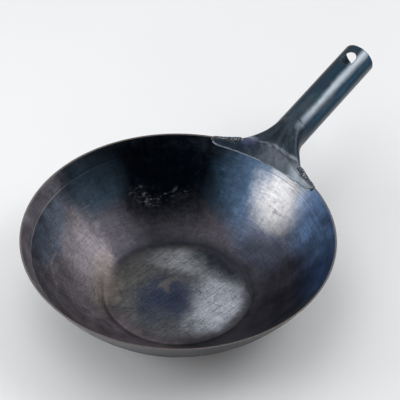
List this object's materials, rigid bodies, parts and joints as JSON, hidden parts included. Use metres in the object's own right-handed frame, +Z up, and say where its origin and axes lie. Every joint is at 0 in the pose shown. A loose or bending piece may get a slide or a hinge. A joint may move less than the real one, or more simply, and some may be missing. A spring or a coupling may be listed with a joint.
{
  "type": "wok",
  "caption": "Round-walled flat-floored steel wok with a hollow rolled-sheet handle, fanned and welded over the rim, with a hanging slot near its open end.",
  "frame": {"origin": "middle of the flat resting face under the bowl, on the bowl's axis", "axes": "+Z up along the bowl's axis, +X from the bowl's axis towards the handle, +Y across"},
  "size_m": [0.4583, 0.2994, 0.1247],
  "materials": {
    "bowl_steel": "heat-blued carbon steel, used: blue-black to brown grey, fine spun lines and scratches",
    "handle_steel": "heat-blued carbon steel, satin, slate blue with teal and violet temper tints",
    "weld_metal": "dark rough weld bead with bright ripples"
  },
  "bodies": {
    "root": {"bowl": "bowl_steel", "handle": "handle_steel", "lap_weld": "weld_metal", "rim_weld_left": "weld_metal", "rim_weld_right": "weld_metal", "skirt_weld_left": "weld_metal", "skirt_weld_right": "weld_metal"}
  },
  "joints": []
}
